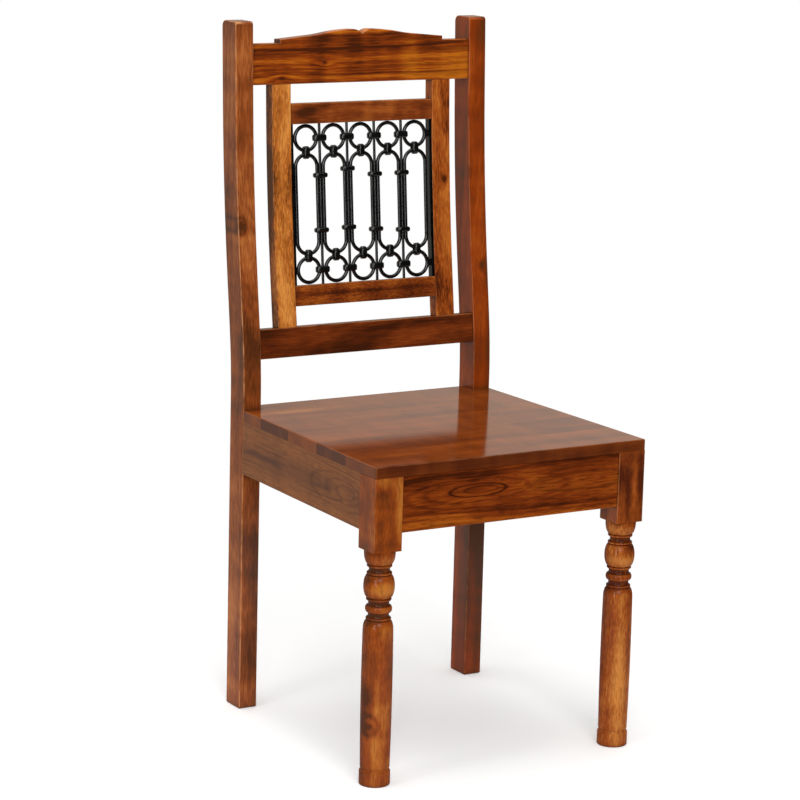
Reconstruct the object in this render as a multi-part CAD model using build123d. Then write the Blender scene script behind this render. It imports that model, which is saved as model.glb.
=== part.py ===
from build123d import *
import os
from itertools import cycle
from math import radians, sqrt, tan

# Dining chair of solid wood, with turned front legs and an iron grille in its back.
# Sizes are in millimetres. +Z is up, the sitter faces -Y, and the origin is on the floor
# under the middle of the chair's outline.

# Seat
seat_height = 450.0
seat_front_width = 438.0
seat_rear_width = 420.0
seat_depth = 397.5
seat_thickness = 16.0
seat_tail = 29.5
seat_board_count = 5
seat_corner_round = 2.5
seat_edge_round = 1.6
seat_notch_clearance = 0.3

# Aprons under the seat
apron_height = 78.0
apron_thickness = 20.0
apron_edge_round = 1.0
front_apron_setback = 2.0
rear_apron_setback = 7.0

# Front legs: a square block above, a turning below it
leg_block_size = 43.5
leg_block_height = 102.7
leg_block_round = 1.5
bowl_lip = 3.0
bowl_height = 17.0
bowl_diameter = 43.3
waist_diameter = 31.0
ring_height = 3.8
ring_diameter = 35.0
cove_height = 6.6
cove_diameter = 28.6
ball_height = 32.5
ball_diameter = 43.0
bead_height = 10.0
bead_diameter = 37.0
shoulder_height = 14.5
shaft_top_diameter = 42.0
shaft_diameter = 43.2
shaft_end_diameter = 41.0
foot_diameter = 43.2
foot_height = 21.0
foot_slope = 1.5
foot_groove_height = 4.0
foot_groove_depth = 0.9
foot_edge_round = 2.0

# Rear posts: upright to the seat, bent back above it and eased upright again near the top
post_width = 29.0
post_depth = 42.0
back_height = 556.0
bend_low_rise = 65.0
bend_high_rise = 317.0
rake_low = 7.4
rake_high = 2.3
bend_low_radius = 770.0
bend_high_radius = 2830.0
post_top_front_round = 5.0
post_top_rear_round = 9.0
post_foot_round = 3.0
post_edge_round = 2.0

# Rails and stiles of the back
back_setback = 3.0
back_edge_round = 1.5
post_horn = 32.0
crest_thickness = 20.0
crest_end_height = 59.0
crest_step = 5.5
crest_shoulder = 44.7
crest_slope_offset = 84.0
crest_slope_height = 69.2
crest_swell_offset = 62.0
crest_swell_height = 72.2
crest_peak_offset = 16.0
crest_peak_height = 77.0
crest_notch_depth = 6.5
lower_rail_rise = 72.0
lower_rail_height = 43.5
lower_rail_thickness = 20.0
stile_gap = 31.3
stile_width = 31.0
stile_thickness = 20.0
panel_rail_height = 30.0
panel_rail_thickness = 15.0
panel_low_gap = 29.0
hand_gap = 28.0

# Mortise and tenon joints
tenon_thickness = 8.0
tenon_edge = 6.0
panel_tenon_thickness = 6.0
apron_tenon_inset = 5.0
apron_tenon_length = 20.0
rear_tenon_length = 10.0
back_tenon_length = 15.0
stile_tenon_length = 14.0
panel_tenon_length = 12.0
joint_clearance = 0.1
glue_space = 1.0

# Iron grille
grille_columns = 5
rod_diameter = 5.6
bar_diameter = 4.2
rod_fit = 0.2
strip_thickness = 4.0
strip_depth = 10.0
lug_length = 2.4
lug_height = 10.0
lug_depth = 3.6
lug_clearance = 0.1
ring_rail_gap = 0.6
bar_socket_depth = 8.0
strip_socket_depth = 5.0
ring_collar_height = 10.0
ring_collar_wall = 2.6
loop_collar_height = 7.6
loop_collar_wall = 3.6
collar_round = 3.0
collar_clearance = 0.15
clip_width = 9.5
clip_wall = 3.0
clip_round = 2.6
# The collars round a bar and two loop sides stand off the ends of the sides, at hand-set heights
upper_collar_drop = 12.0
upper_collar_shifts = (-1.0, 7.0, -3.0, -3.0)
lower_collar_lift = 14.0
lower_collar_shifts = (2.0, 4.0, -1.0, -4.0)

# Corner blocks and their screws
corner_arm = 70.0
corner_height = 25.0
corner_clearance = 0.5
apron_screw_offset = 48.0
seat_screw_offset = 31.0
screw_diameter = 4.0
screw_head_diameter = 8.0
screw_head_height = 3.0
screw_head_round = 1.0
screw_clearance = 0.1
screw_slot_width = 1.2
screw_slot_depth = 1.5
apron_screw_wood = 12.0
apron_screw_bite = 14.0
seat_screw_recess = 4.5
seat_screw_bite = 11.0

# Levels, heights above the seat, and how far the back leans
seat_bottom = seat_height - seat_thickness
apron_bottom = seat_bottom - apron_height
leg_block_bottom = seat_bottom - leg_block_height
top_height = seat_height + back_height
crest_rise = back_height - post_horn - crest_end_height
panel_high_rise = crest_rise - hand_gap - panel_rail_height
panel_low_rise = lower_rail_rise + lower_rail_height + panel_low_gap
bend_low_height = seat_height + bend_low_rise
bend_high_height = seat_height + bend_high_rise
bend_high_lean = (bend_high_rise - bend_low_rise) * tan(radians(rake_low))
top_lean = bend_high_lean + (back_height - bend_high_rise) * tan(radians(rake_high))
overall_depth = seat_depth + top_lean + post_depth
front_y = -overall_depth / 2
post_y = front_y + seat_depth
seat_rear_y = post_y + seat_tail

# Places across the chair, right of its middle
leg_inner_x = seat_front_width / 2 - leg_block_size
post_outer_x = seat_rear_width / 2
post_inner_x = post_outer_x - post_width
stile_outer_x = post_inner_x - stile_gap
stile_inner_x = stile_outer_x - stile_width
side_taper = (seat_front_width - seat_rear_width) / 2 / seat_depth
far = 2 * top_height
line_tolerance = 1e-12

post_line = FilletPolyline(
    (0, post_y, 0),
    (0, post_y, bend_low_height),
    (0, post_y + bend_high_lean, bend_high_height),
    (0, post_y + top_lean, top_height),
    radius=[bend_low_radius, bend_high_radius],
)


def block(x, y, z):
    """Box between a pair of limits along each axis."""
    size = [high - low for low, high in (x, y, z)]
    middle = [(high + low) / 2 for low, high in (x, y, z)]
    return Pos(*middle) * Box(*size)


def left_of(piece):
    """The left-hand twin of a right-hand piece."""
    return mirror(piece, about=Plane.YZ)


def back_plane(height):
    """Plane of the back's front face at a height: local x across, y up the lean, z forward."""
    low, high = 0.0, 1.0
    while high - low > line_tolerance:
        middle = (low + high) / 2
        if (post_line @ middle).Z < height:
            low = middle
        else:
            high = middle
    lean = post_line % low
    spot = post_line @ low
    return Plane((0, spot.Y + back_setback, height), x_dir=(1, 0, 0), z_dir=(0, -lean.Z, lean.Y))


crest_plane = back_plane(seat_height + crest_rise + crest_end_height / 2)
lower_plane = back_plane(seat_height + lower_rail_rise + lower_rail_height / 2)
panel_low_plane = back_plane(seat_height + panel_low_rise + panel_rail_height / 2)
panel_high_plane = back_plane(seat_height + panel_high_rise + panel_rail_height / 2)

# The grille stands on a straight line between the middles of the two panel rails' facing edges
grille_foot = panel_low_plane.from_local_coords((0, panel_rail_height / 2, -panel_rail_thickness / 2))
grille_head = panel_high_plane.from_local_coords((0, -panel_rail_height / 2, -panel_rail_thickness / 2))
grille_up = (grille_head - grille_foot).normalized()
grille_height = (grille_head - grille_foot).length
grille_plane = Plane(
    (grille_foot + grille_head) / 2, x_dir=(1, 0, 0), z_dir=(0, -grille_up.Z, grille_up.Y)
)
strip_inner_x = stile_inner_x - strip_thickness
grille_half_width = strip_inner_x - lug_length
grille_pitch = (grille_half_width + bar_diameter / 2 + rod_fit) * 2 / grille_columns
ring_radius = (grille_pitch - bar_diameter - rod_diameter) / 2 - rod_fit
ring_outer_radius = ring_radius + rod_diameter / 2
ring_level = grille_height / 2 - ring_rail_gap - ring_outer_radius
clip_level = ring_level - ring_radius - (rod_diameter + rod_fit) / 2
loop_level = clip_level - ring_radius - (rod_diameter + rod_fit) / 2
column_places = [(i - (grille_columns - 1) / 2) * grille_pitch for i in range(grille_columns)]
bar_places = [place + grille_pitch / 2 for place in column_places[:-1]]


# Mortise and tenon joints: each tenon also cuts its mortise, with the joint's clearance

def grown(limits, mortise):
    """Limits of a tenon, or of its mortise, which is wider by the clearance."""
    spare = joint_clearance if mortise else 0.0
    return (limits[0] - spare, limits[1] + spare)


def rail_tenon(plane, face_x, length, height, thickness, width, mortise=False):
    """Tenon on the right end of a rail in the back, at the face that its shoulder meets."""
    reach = length + (glue_space if mortise else 0.0)
    up = grown((-height / 2 + tenon_edge, height / 2 - tenon_edge), mortise)
    deep = grown((-thickness / 2 - width / 2, -thickness / 2 + width / 2), mortise)
    return plane * block((face_x - tenon_edge, face_x + reach), up, deep)


def crest_tenon(mortise=False):
    """Tenon of the crest rail in the right post."""
    return rail_tenon(
        crest_plane, post_inner_x, back_tenon_length, crest_end_height, crest_thickness,
        tenon_thickness, mortise,
    )


def lower_rail_tenon(mortise=False):
    """Tenon of the lower back rail in the right post."""
    return rail_tenon(
        lower_plane, post_inner_x, back_tenon_length, lower_rail_height, lower_rail_thickness,
        tenon_thickness, mortise,
    )


def panel_rail_tenon(plane, mortise=False):
    """Tenon of a panel rail in the right stile."""
    return rail_tenon(
        plane, stile_inner_x, panel_tenon_length, panel_rail_height, panel_rail_thickness,
        panel_tenon_thickness, mortise,
    )


def stile_tenon(plane, edge, upwards, thickness, mortise=False):
    """Tenon on one end of the right stile, at an edge of the rail that it enters."""
    reach = stile_tenon_length + (glue_space if mortise else 0.0)
    up = (edge - tenon_edge, edge + reach) if upwards else (edge - reach, edge + tenon_edge)
    across = grown((stile_inner_x + tenon_edge, stile_outer_x - tenon_edge), mortise)
    deep = grown((-thickness / 2 - tenon_thickness / 2, -thickness / 2 + tenon_thickness / 2), mortise)
    return plane * block(across, up, deep)


def stile_top_tenon(mortise=False):
    """Tenon of the right stile in the crest rail."""
    return stile_tenon(crest_plane, -crest_end_height / 2, True, crest_thickness, mortise)


def stile_foot_tenon(mortise=False):
    """Tenon of the right stile in the lower back rail."""
    return stile_tenon(lower_plane, lower_rail_height / 2, False, lower_rail_thickness, mortise)


def apron_tenon_levels(mortise):
    """Lowest and highest level of an apron's tenon."""
    return grown((apron_bottom + tenon_edge, seat_bottom - tenon_edge), mortise)


def cross_apron_tenon(front_face, inner_x, length, mortise=False):
    """Tenon on the right end of the front or the rear apron."""
    reach = length + (glue_space if mortise else 0.0)
    middle = front_face + apron_thickness / 2
    deep = grown((middle - tenon_thickness / 2, middle + tenon_thickness / 2), mortise)
    return block((inner_x - tenon_edge, inner_x + reach), deep, apron_tenon_levels(mortise))


def front_apron_tenon(mortise=False):
    """Tenon of the front apron in the right leg."""
    return cross_apron_tenon(front_y + front_apron_setback, leg_inner_x, apron_tenon_length, mortise)


def rear_apron_tenon(mortise=False):
    """Tenon of the rear apron in the right post."""
    return cross_apron_tenon(post_y + rear_apron_setback, post_inner_x, rear_tenon_length, mortise)


def side_edge_x(y):
    """Right-hand edge of the seat, which tapers from front to back."""
    return seat_front_width / 2 - side_taper * (y - front_y)


def side_bar(inset, y, z):
    """Upright slab along the right-hand edge of the seat, between two insets from it."""
    corners = [
        (side_edge_x(y[0]) - inset[0], y[0]),
        (side_edge_x(y[1]) - inset[0], y[1]),
        (side_edge_x(y[1]) - inset[1], y[1]),
        (side_edge_x(y[0]) - inset[1], y[0]),
    ]
    plan = make_face(Polyline(*corners, close=True))
    return Pos(0, 0, z[0]) * extrude(plan, z[1] - z[0], dir=(0, 0, 1))


def side_apron_tenon(mortise=False):
    """Tenons of the right side apron: one in the leg, one in the post."""
    reach = apron_tenon_length + (glue_space if mortise else 0.0)
    inset = grown((apron_tenon_inset, apron_tenon_inset + tenon_thickness), mortise)
    levels = apron_tenon_levels(mortise)
    leg_face = front_y + leg_block_size
    into_leg = side_bar(inset, (leg_face - reach, leg_face + tenon_edge), levels)
    into_post = side_bar(inset, (post_y - tenon_edge, post_y + reach), levels)
    return into_leg + into_post


# Corner blocks and their screws

def corner_spot(front):
    """Corner between the inner faces of two aprons, and the way that it opens along Y."""
    if front:
        y = front_y + front_apron_setback + apron_thickness
        return side_edge_x(y) - apron_thickness, y, 1
    y = post_y + rear_apron_setback
    return side_edge_x(y) - apron_thickness, y, -1


def screw(length):
    """Round-headed wood screw, along +Z from under its head."""
    head = extrude(Circle(screw_head_diameter / 2), -screw_head_height)
    head = fillet(head.edges().group_by(Axis.Z)[0], screw_head_round)
    slot_level = -screw_head_height + screw_slot_depth / 2
    slot = Pos(0, 0, slot_level) * Box(screw_head_diameter, screw_slot_width, screw_slot_depth)
    shank = extrude(Circle(screw_diameter / 2), length)
    return head - slot + shank


def screw_hole(length, recess):
    """Room for a screw: its shank with clearance, and a pocket for its head."""
    shank = extrude(Circle(screw_diameter / 2 + screw_clearance), length + glue_space)
    pocket = extrude(Circle(screw_head_diameter / 2 + glue_space), -recess)
    return shank + pocket


def corner_screw_places(front):
    """Places of the right corner's screws: into the cross apron, the side apron and the seat."""
    x, y, way = corner_spot(front)
    level = seat_bottom - corner_height / 2
    cross = Plane((x - apron_screw_offset, y + way * apron_screw_wood, level), z_dir=(0, -way, 0))
    side_y = y + way * apron_screw_offset
    side_x = side_edge_x(side_y) - apron_thickness - apron_screw_wood
    side = Plane((side_x, side_y, level), z_dir=(1, 0, 0))
    seat_level = seat_bottom - corner_height + seat_screw_recess
    up = Plane((x - seat_screw_offset, y + way * seat_screw_offset, seat_level), z_dir=(0, 0, 1))
    return cross, side, up


def apron_screws(front):
    """Screws of the right corner block into its two aprons."""
    cross, side, _ = corner_screw_places(front)
    length = apron_screw_wood + apron_screw_bite
    return [cross * screw(length), side * screw(length)]


def apron_screw_holes(front):
    """Room for the right corner block's screws into its two aprons."""
    cross, side, _ = corner_screw_places(front)
    hole = screw_hole(apron_screw_wood + apron_screw_bite, corner_arm)
    return cross * hole + side * hole


def seat_screw_length():
    """Length of a seat screw under its head."""
    return corner_height - seat_screw_recess + seat_screw_bite


def seat_screw(front):
    """Screw of the right corner block up into the seat."""
    return corner_screw_places(front)[2] * screw(seat_screw_length())


def seat_screw_hole(front):
    """Room for the right corner block's screw into the seat."""
    return corner_screw_places(front)[2] * screw_hole(seat_screw_length(), corner_height)


def corner_block(front):
    """Right corner block: a gusset in the corner of two aprons, cut round the leg or post."""
    x, y, way = corner_spot(front)
    side_y = y + way * corner_arm
    corners = [(x, y), (x - corner_arm, y), (side_edge_x(side_y) - apron_thickness, side_y)]
    plan = make_face(Polyline(*corners, close=True))
    gusset = Pos(0, 0, seat_bottom - corner_height) * extrude(plan, corner_height, dir=(0, 0, 1))
    levels = (apron_bottom, seat_height)
    if front:
        upright = block((leg_inner_x - corner_clearance, far),
                        (-far, front_y + leg_block_size + corner_clearance), levels)
    else:
        upright = block((post_inner_x - corner_clearance, far), (post_y - corner_clearance, far), levels)
    return gusset - upright - apron_screw_holes(front) - seat_screw_hole(front)


# Seat and aprons

def seat_boards():
    """Boards of the seat, front to back, notched round the posts."""
    notch_x = post_inner_x - seat_notch_clearance
    notch_y = post_y - seat_notch_clearance
    right = [
        (seat_front_width / 2, front_y),
        (side_edge_x(notch_y), notch_y),
        (notch_x, notch_y),
        (notch_x, seat_rear_y),
    ]
    left = [(-x, y) for x, y in reversed(right)]
    plan = make_face(Polyline(*right, *left, close=True))
    slab = Pos(0, 0, seat_bottom) * extrude(plan, seat_thickness, dir=(0, 0, 1))
    front_corners = slab.edges().filter_by(Axis.Z).group_by(Axis.Y)[0]
    slab = fillet(front_corners, seat_corner_round)
    slab = fillet(slab.faces().sort_by(Axis.Z)[-1].edges(), seat_edge_round)
    for front in (True, False):
        hole = seat_screw_hole(front)
        slab = slab - hole - left_of(hole)
    width = (seat_rear_y - front_y) / seat_board_count
    boards = []
    for i in range(seat_board_count):
        start = front_y + i * width
        boards.append(slab & block((-far, far), (start, start + width), (0, far)))
    return boards


def cross_apron(front_face, inner_x, tenon, front):
    """Front or rear apron, with a tenon on each end."""
    body = block((-inner_x, inner_x), (front_face, front_face + apron_thickness),
                 (apron_bottom, seat_bottom))
    lower_edges = body.edges().filter_by(Axis.X).group_by(Axis.Z)[0]
    body = fillet(lower_edges, apron_edge_round)
    holes = apron_screw_holes(front)
    return body + tenon + left_of(tenon) - holes - left_of(holes)


def side_apron():
    """Right side apron, with a tenon in the leg and one in the post."""
    length = (front_y + leg_block_size, post_y)
    body = side_bar((0, apron_thickness), length, (apron_bottom, seat_bottom))
    long_edges = [e for e in body.edges().group_by(Axis.Z)[0] if e.length > 2 * apron_thickness]
    body = fillet(long_edges, apron_edge_round)
    return body + side_apron_tenon() - apron_screw_holes(True) - apron_screw_holes(False)


# Legs and posts

def swell(level, height, diameter):
    """Half ellipse of a turning's outline below a level, out from the waist or into it."""
    waist = waist_diameter / 2
    reach = diameter / 2 - waist
    half_turn = -180 if reach > 0 else 180
    return EllipticalCenterArc(
        (waist, level - height / 2), abs(reach), height / 2, start_angle=90, arc_size=half_turn
    )


def turning():
    """Turned part of a front leg, from the floor to its block, on the Z axis."""
    waist = waist_diameter / 2
    lip = leg_block_bottom - bowl_lip
    bowl = EllipticalCenterArc(
        (waist, lip), bowl_diameter / 2 - waist, bowl_height, start_angle=-90, arc_size=90
    )
    outline = [Polyline((0, leg_block_bottom), (bowl_diameter / 2, leg_block_bottom), bowl @ 1), bowl]
    swells = [
        (ring_height, ring_diameter),
        (cove_height, cove_diameter),
        (ring_height, ring_diameter),
        (ball_height, ball_diameter),
        (ring_height, ring_diameter),
        (cove_height, cove_diameter),
        (bead_height, bead_diameter),
        (cove_height, cove_diameter),
        (ring_height, ring_diameter),
    ]
    level = lip - bowl_height
    for height, diameter in swells:
        outline.append(swell(level, height, diameter))
        level -= height
    shoulder = EllipticalCenterArc(
        (waist, level - shoulder_height), shaft_top_diameter / 2 - waist, shoulder_height,
        start_angle=0, arc_size=90,
    )
    groove_level = foot_height + foot_groove_height
    shaft_end = (shaft_end_diameter / 2, groove_level)
    shaft_middle = (shaft_diameter / 2, (level - shoulder_height + groove_level) / 2)
    groove_middle = (shaft_end_diameter / 2 - foot_groove_depth, foot_height + foot_groove_height / 2)
    groove_end = (shaft_end_diameter / 2, foot_height)
    foot = Polyline(
        groove_end, (foot_diameter / 2, foot_height - foot_slope), (foot_diameter / 2, 0), (0, 0),
        (0, leg_block_bottom),
    )
    outline.append(shoulder)
    outline.append(ThreePointArc(shoulder @ 0, shaft_middle, shaft_end))
    outline.append(ThreePointArc(shaft_end, groove_middle, groove_end))
    outline.append(foot)
    body = revolve(Plane.XZ * make_face(outline), Axis.Z)
    foot_edge = body.edges().group_by(Axis.Z)[0]
    return fillet(foot_edge, foot_edge_round)


def front_leg():
    """Right front leg, with mortises for the front and the side apron."""
    head = block(
        (leg_inner_x, seat_front_width / 2), (front_y, front_y + leg_block_size),
        (leg_block_bottom, seat_bottom),
    )
    head = fillet(head.edges().filter_by(Axis.Z), leg_block_round)
    place = Pos(seat_front_width / 2 - leg_block_size / 2, front_y + leg_block_size / 2, 0)
    return head + place * turning() - front_apron_tenon(True) - side_apron_tenon(True)


def bent_slab(setback, thickness, x):
    """Upright slab that follows the posts' bend from the floor to the top."""
    front = Pos(x[0], setback, 0) * post_line
    rear = Pos(x[0], setback + thickness, 0) * post_line
    foot = Line(front @ 0, rear @ 0)
    head = Line(front @ 1, rear @ 1)
    side = make_face([*front.edges(), *rear.edges(), foot, head])
    return extrude(side, x[1] - x[0], dir=(1, 0, 0))


def side_edges(piece):
    """Edges round the two flat sides of a bent slab."""
    sides = piece.faces().filter_by(Axis.X)
    return [edge for side in sides for edge in side.edges()]


def rear_post():
    """Right rear post, with mortises for two aprons and two back rails."""
    post = bent_slab(0, post_depth, (post_inner_x, post_outer_x))
    top_edges = post.edges().filter_by(Axis.X).group_by(Axis.Z)[-1].sort_by(Axis.Y)
    post = fillet(top_edges[0], post_top_front_round)
    post = fillet(post.edges().filter_by(Axis.X).sort_by(Axis.Y)[-1], post_top_rear_round)
    post = fillet(post.edges().filter_by(Axis.X).group_by(Axis.Z)[0], post_foot_round)
    post = fillet(side_edges(post), post_edge_round)
    joints = [side_apron_tenon(True), rear_apron_tenon(True), lower_rail_tenon(True), crest_tenon(True)]
    return post - joints


# Back frame

def crest_rail():
    """Crest rail, with a tenon in each post and mortises for the stiles."""
    low = -crest_end_height / 2
    step_x = post_inner_x - crest_shoulder
    rising = Line(
        (step_x, low + crest_end_height + crest_step), (crest_slope_offset, low + crest_slope_height)
    )
    hollow = TangentArc(
        rising @ 1, (crest_swell_offset, low + crest_swell_height), tangent=rising % 1
    )
    swell = TangentArc(
        hollow @ 1, (crest_peak_offset, low + crest_peak_height), tangent=hollow % 1
    )
    notch = TangentArc(
        swell @ 1, (0, low + crest_peak_height - crest_notch_depth), tangent=(-1, 0)
    )
    lower_edge = Polyline(
        notch @ 1, (0, low), (post_inner_x, low), (post_inner_x, -low), (step_x, -low), rising @ 0
    )
    half = make_face([*lower_edge.edges(), rising, hollow, swell, notch])
    outline = half + mirror(half, about=Plane.YZ)
    body = extrude(crest_plane * outline, -crest_thickness)
    broad_faces = body.faces().sort_by(SortBy.AREA)[-2:]
    rims = [edge for face in broad_faces for edge in face.edges()]
    long_rims = [rim for rim in rims if abs(rim.center().X) < post_inner_x - back_edge_round]
    body = fillet(long_rims, back_edge_round)
    tenon = crest_tenon()
    mortise = stile_top_tenon(True)
    return body + tenon + left_of(tenon) - mortise - left_of(mortise)


def straight_rail(plane, half_length, height, thickness, tenon):
    """Straight rail of the back between two faces, with a tenon on each end."""
    body = plane * block((-half_length, half_length), (-height / 2, height / 2), (-thickness, 0))
    body = fillet(body.edges().filter_by(Axis.X), back_edge_round)
    return body + tenon + left_of(tenon)


def lower_back_rail():
    """Lower back rail, with a tenon in each post and mortises for the stiles."""
    rail = straight_rail(
        lower_plane, post_inner_x, lower_rail_height, lower_rail_thickness, lower_rail_tenon()
    )
    mortise = stile_foot_tenon(True)
    return rail - mortise - left_of(mortise)


def back_stile():
    """Right stile between the two back rails, with mortises for the panel rails."""
    stile = bent_slab(back_setback, stile_thickness, (stile_inner_x, stile_outer_x))
    stile = fillet(side_edges(stile), back_edge_round)
    above = crest_plane * block((-far, far), (-crest_end_height / 2, far), (-far, far))
    below = lower_plane * block((-far, far), (-far, lower_rail_height / 2), (-far, far))
    stile = stile - above - below + stile_top_tenon() + stile_foot_tenon()
    return stile - panel_rail_tenon(panel_low_plane, True) - panel_rail_tenon(panel_high_plane, True)


def panel_rail(plane):
    """Upper or lower rail of the panel, with sockets for the grille's bars and side strips."""
    rail = straight_rail(
        plane, stile_inner_x, panel_rail_height, panel_rail_thickness, panel_rail_tenon(plane)
    )
    sockets = [grille_bar(place, True) for place in bar_places]
    strip = side_strip(True)
    return rail - sockets - strip - left_of(strip)


# Iron grille

def grille_bar(place, socket=False):
    """Upright bar of the grille from rail to rail, or the room for it in the rails."""
    spare = joint_clearance if socket else 0.0
    length = grille_height + 2 * bar_socket_depth + (2 * glue_space if socket else 0.0)
    bar = Cylinder(bar_diameter / 2 + spare, length, rotation=(90, 0, 0))
    return grille_plane * Pos(place, 0, 0) * bar


def side_strip(socket=False):
    """Right side strip of the grille, flat on the stile, or the room for it in the rails."""
    half = grille_height / 2 + strip_socket_depth + (glue_space if socket else 0.0)
    deep = grown((-strip_depth / 2, strip_depth / 2), socket)
    inner = strip_inner_x - (joint_clearance if socket else 0.0)
    return grille_plane * block((inner, stile_inner_x), (-half, half), deep)


def grille_ring(place, level):
    """Ring of the grille, bent from round rod."""
    return grille_plane * Pos(place, level, 0) * Torus(ring_radius, rod_diameter / 2)


def grille_loop(place):
    """Long loop of the grille: two round ends and two straight sides."""
    end = Torus(ring_radius, rod_diameter / 2, major_angle=180, align=None)
    side = Cylinder(rod_diameter / 2, 2 * loop_level, rotation=(90, 0, 0))
    head = Pos(0, loop_level, 0) * end
    foot = Pos(0, -loop_level, 0) * Rot(0, 0, 180) * end
    loop = head + foot + Pos(ring_radius, 0, 0) * side + Pos(-ring_radius, 0, 0) * side
    return grille_plane * Pos(place, 0, 0) * loop


def arc_rise(half_width):
    """How far a ring's rod curves away over half the width of a band round it."""
    return ring_radius - sqrt(ring_radius ** 2 - half_width ** 2)


def iron_band(plane, inner_length, width, wall, edge_round):
    """Band wrapped round a row of rods, with its hole along the plane's normal."""
    inner_depth = rod_diameter + 2 * collar_clearance
    outer = SlotOverall(inner_length + 2 * wall, inner_depth + 2 * wall)
    inner = SlotOverall(inner_length, inner_depth)
    body = extrude(outer, width / 2, both=True)
    rims = body.edges().group_by(Axis.Z)
    body = fillet(rims[0] + rims[-1], edge_round)
    body = body - extrude(inner, width, both=True)
    return grille_plane * plane * body


def collar(place, level, height, wall, spread=0.0):
    """Collar round an upright bar and the rods on both sides of it, which may curve away in it."""
    inner_length = bar_diameter + 2 * (rod_diameter + rod_fit + collar_clearance + spread)
    plane = Plane((place, level, 0), x_dir=(1, 0, 0), z_dir=(0, 1, 0))
    return iron_band(plane, inner_length, height, wall, collar_round)


def ring_collar(place, level):
    """Collar round a bar and the two rings beside it."""
    spread = arc_rise(ring_collar_height / 2)
    return collar(place, level, ring_collar_height, ring_collar_wall, spread)


def loop_collar(place, level):
    """Collar round a bar and the two loop sides beside it."""
    return collar(place, level, loop_collar_height, loop_collar_wall)


def clip(place, level):
    """Clip round a ring and the end of a loop."""
    inner_length = 2 * rod_diameter + rod_fit + 2 * (collar_clearance + arc_rise(clip_width / 2))
    plane = Plane((place, level, 0), x_dir=(0, 1, 0), z_dir=(1, 0, 0))
    return iron_band(plane, inner_length, clip_width, clip_wall, clip_round)


def ring_lug(level):
    """Welded lug between the right-hand ring and the side strip."""
    start = column_places[-1] + ring_radius + lug_depth / 2
    lug = block(
        (start, strip_inner_x), (level - lug_height / 2, level + lug_height / 2),
        (-lug_depth / 2, lug_depth / 2),
    )
    room = Pos(column_places[-1], level, 0) * Torus(ring_radius, rod_diameter / 2 + lug_clearance)
    return grille_plane * (lug - room)


def twins(pieces):
    """Pieces of the right-hand side and their left-hand twins."""
    return [*pieces, *[left_of(piece) for piece in pieces]]


def wood_pieces():
    """Every wooden piece by name."""
    pieces = {
        "crest_rail": crest_rail(),
        "lower_back_rail": lower_back_rail(),
        "panel_rail_upper": panel_rail(panel_high_plane),
        "panel_rail_lower": panel_rail(panel_low_plane),
        "front_apron": cross_apron(
            front_y + front_apron_setback, leg_inner_x, front_apron_tenon(), True
        ),
        "rear_apron": cross_apron(post_y + rear_apron_setback, post_inner_x, rear_apron_tenon(), False),
    }
    pairs = {
        "rear_post": rear_post(),
        "front_leg": front_leg(),
        "back_stile": back_stile(),
        "side_apron": side_apron(),
        "corner_block_front": corner_block(True),
        "corner_block_rear": corner_block(False),
    }
    for name, piece in pairs.items():
        pieces[f"{name}_right"] = piece
        pieces[f"{name}_left"] = left_of(piece)
    for number, board in enumerate(seat_boards(), start=1):
        pieces[f"seat_board_{number}"] = board
    return pieces


def iron_pieces():
    """Every piece of the grille by name."""
    pieces = {"grille_strip_right": side_strip(), "grille_strip_left": left_of(side_strip())}
    for number, place in enumerate(column_places, start=1):
        pieces[f"grille_ring_upper_{number}"] = grille_ring(place, ring_level)
        pieces[f"grille_ring_lower_{number}"] = grille_ring(place, -ring_level)
        pieces[f"grille_loop_{number}"] = grille_loop(place)
    for number, place in enumerate(bar_places, start=1):
        pieces[f"grille_bar_{number}"] = grille_bar(place)
    levels = (ring_level, -ring_level)
    ring_collars = [ring_collar(place, level) for place in bar_places for level in levels]
    loop_collars = []
    for place, high, low in zip(bar_places, cycle(upper_collar_shifts), cycle(lower_collar_shifts)):
        loop_collars.append(loop_collar(place, loop_level - upper_collar_drop + high))
        loop_collars.append(loop_collar(place, lower_collar_lift - loop_level + low))
    clips = [clip(place, way * clip_level) for place in column_places for way in (1, -1)]
    pieces["grille_ring_collars"] = Compound(children=ring_collars)
    pieces["grille_loop_collars"] = Compound(children=loop_collars)
    pieces["grille_clips"] = Compound(children=clips)
    pieces["grille_ring_lugs"] = Compound(children=twins([ring_lug(level) for level in levels]))
    return pieces


def screw_pieces():
    """The screws under the seat, in two groups."""
    into_aprons = apron_screws(True) + apron_screws(False)
    into_seat = [seat_screw(True), seat_screw(False)]
    return {
        "corner_block_screws": Compound(children=twins(into_aprons)),
        "seat_screws": Compound(children=twins(into_seat)),
    }


os.makedirs("parts", exist_ok=True)
for name, piece in {**wood_pieces(), **iron_pieces(), **screw_pieces()}.items():
    export_step(piece, f"parts/{name}.step")
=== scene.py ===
"""Lacquered dining chair: the finishes of its pieces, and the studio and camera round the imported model."""
import logging
import math
from dataclasses import dataclass, field
from enum import Enum
from typing import ClassVar, Mapping, Optional, Sequence, Union

import bpy
from mathutils import Matrix, Vector

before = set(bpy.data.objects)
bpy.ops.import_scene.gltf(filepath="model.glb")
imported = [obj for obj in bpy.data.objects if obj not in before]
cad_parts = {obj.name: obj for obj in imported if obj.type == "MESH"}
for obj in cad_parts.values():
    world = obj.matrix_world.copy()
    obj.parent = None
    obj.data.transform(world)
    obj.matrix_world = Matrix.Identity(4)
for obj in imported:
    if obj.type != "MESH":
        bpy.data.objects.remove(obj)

LOG = logging.getLogger("dining_chair")
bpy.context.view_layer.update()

Pair = tuple[float, float]
Triple = tuple[float, float, float]
Socket = bpy.types.NodeSocket
Material = bpy.types.Material
Value = Union[float, Socket]
VectorValue = Union[Triple, Socket]

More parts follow.
